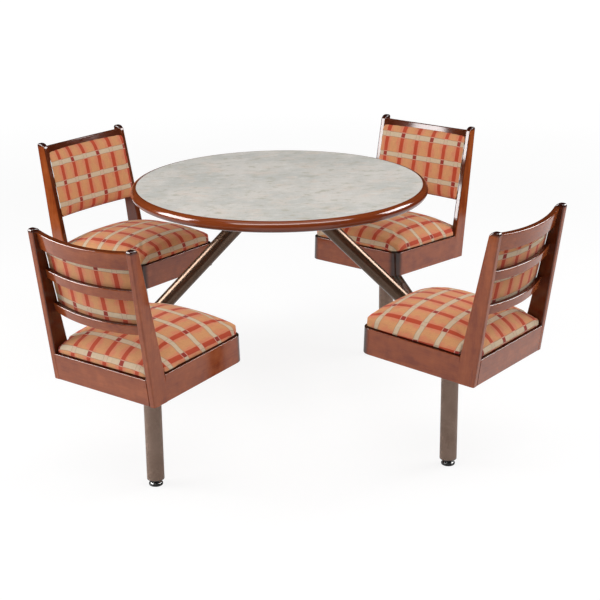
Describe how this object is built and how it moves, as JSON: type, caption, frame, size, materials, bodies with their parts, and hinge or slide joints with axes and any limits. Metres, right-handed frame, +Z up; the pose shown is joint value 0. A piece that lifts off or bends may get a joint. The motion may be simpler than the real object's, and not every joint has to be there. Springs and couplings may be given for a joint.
{
  "type": "dining table with attached swivel seats",
  "caption": "Round laminate-top table on a tube frame of low side rails and slanted arms, with upholstered wood-backed seats that swivel on the frame's corner posts.",
  "frame": {"origin": "on the floor, on the axis of the round top, at the middle of the four feet", "axes": "+Z up; the two side rails run along Y, and the slanted arms lie in the XZ plane"},
  "size_m": [1.4951, 1.5835, 0.7999],
  "materials": {
    "laminate": "satin high-pressure laminate, light grey with a soft stone-like mottle",
    "wood": "glossy lacquered hardwood, red-brown mahogany stain",
    "board": "bare particleboard and plywood",
    "frame_coating": "bronze-brown baked powder coat with a fine speckle on round steel tube",
    "zinc": "bright zinc-plated steel",
    "nylon": "black moulded nylon",
    "glide": "black moulded foot under a zinc-plated dome and stem",
    "fabric": "woven upholstery plaid in rust orange with dark red and beige stripes"
  },
  "bodies": {
    "table_frame": {"laminate_sheet": "laminate", "core_board": "board", "edge_band": "wood", "top_plate": "frame_coating", "top_screws": "zinc", "left_arm": "frame_coating", "right_arm": "frame_coating", "left_rail": "frame_coating", "right_rail": "frame_coating", "swivel_bushes": "nylon", "foot_inserts": "nylon", "front_left_post": "frame_coating", "front_right_post": "frame_coating", "rear_right_post": "frame_coating", "rear_left_post": "frame_coating"},
    "front_left_seat": {"front_left_swivel_plate": "zinc", "front_left_bent_apron": "wood", "front_left_rear_apron": "wood", "front_left_stile_left": "wood", "front_left_stile_right": "wood", "front_left_crest_rail": "wood", "front_left_back_slats": "wood", "front_left_back_pad": "fabric", "front_left_seat_cushion": "fabric", "front_left_seat_board": "board"},
    "front_left_foot": {"front_left_glide": "glide"},
    "front_right_seat": {"front_right_swivel_plate": "zinc", "front_right_bent_apron": "wood", "front_right_rear_apron": "wood", "front_right_stile_left": "wood", "front_right_stile_right": "wood", "front_right_crest_rail": "wood", "front_right_back_slats": "wood", "front_right_back_pad": "fabric", "front_right_seat_cushion": "fabric", "front_right_seat_board": "board"},
    "front_right_foot": {"front_right_glide": "glide"},
    "rear_right_seat": {"rear_right_swivel_plate": "zinc", "rear_right_bent_apron": "wood", "rear_right_rear_apron": "wood", "rear_right_stile_left": "wood", "rear_right_stile_right": "wood", "rear_right_crest_rail": "wood", "rear_right_back_slats": "wood", "rear_right_back_pad": "fabric", "rear_right_seat_cushion": "fabric", "rear_right_seat_board": "board"},
    "rear_right_foot": {"rear_right_glide": "glide"},
    "rear_left_seat": {"rear_left_swivel_plate": "zinc", "rear_left_bent_apron": "wood", "rear_left_rear_apron": "wood", "rear_left_stile_left": "wood", "rear_left_stile_right": "wood", "rear_left_crest_rail": "wood", "rear_left_back_slats": "wood", "rear_left_back_pad": "fabric", "rear_left_seat_cushion": "fabric", "rear_left_seat_board": "board"},
    "rear_left_foot": {"rear_left_glide": "glide"}
  },
  "joints": [
    {"name": "front_left_swivel", "type": "hinge", "parent": "table_frame", "child": "front_left_seat", "pos_m": [-0.4335, -0.478, 0.4135], "axis": [0, 0, 1], "range_deg": [-90, 90]},
    {"name": "front_left_levelling", "type": "slide", "parent": "table_frame", "child": "front_left_foot", "axis": [0, 0, 1], "range_m": [-0.012, 0.006]},
    {"name": "front_right_swivel", "type": "hinge", "parent": "table_frame", "child": "front_right_seat", "pos_m": [0.4335, -0.478, 0.4135], "axis": [0, 0, 1], "range_deg": [-90, 90]},
    {"name": "front_right_levelling", "type": "slide", "parent": "table_frame", "child": "front_right_foot", "axis": [0, 0, 1], "range_m": [-0.012, 0.006]},
    {"name": "rear_right_swivel", "type": "hinge", "parent": "table_frame", "child": "rear_right_seat", "pos_m": [0.4335, 0.478, 0.4135], "axis": [0, 0, 1], "range_deg": [-90, 90]},
    {"name": "rear_right_levelling", "type": "slide", "parent": "table_frame", "child": "rear_right_foot", "axis": [0, 0, 1], "range_m": [-0.012, 0.006]},
    {"name": "rear_left_swivel", "type": "hinge", "parent": "table_frame", "child": "rear_left_seat", "pos_m": [-0.4335, 0.478, 0.4135], "axis": [0, 0, 1], "range_deg": [-90, 90]},
    {"name": "rear_left_levelling", "type": "slide", "parent": "table_frame", "child": "rear_left_foot", "axis": [0, 0, 1], "range_m": [-0.012, 0.006]}
  ]
}
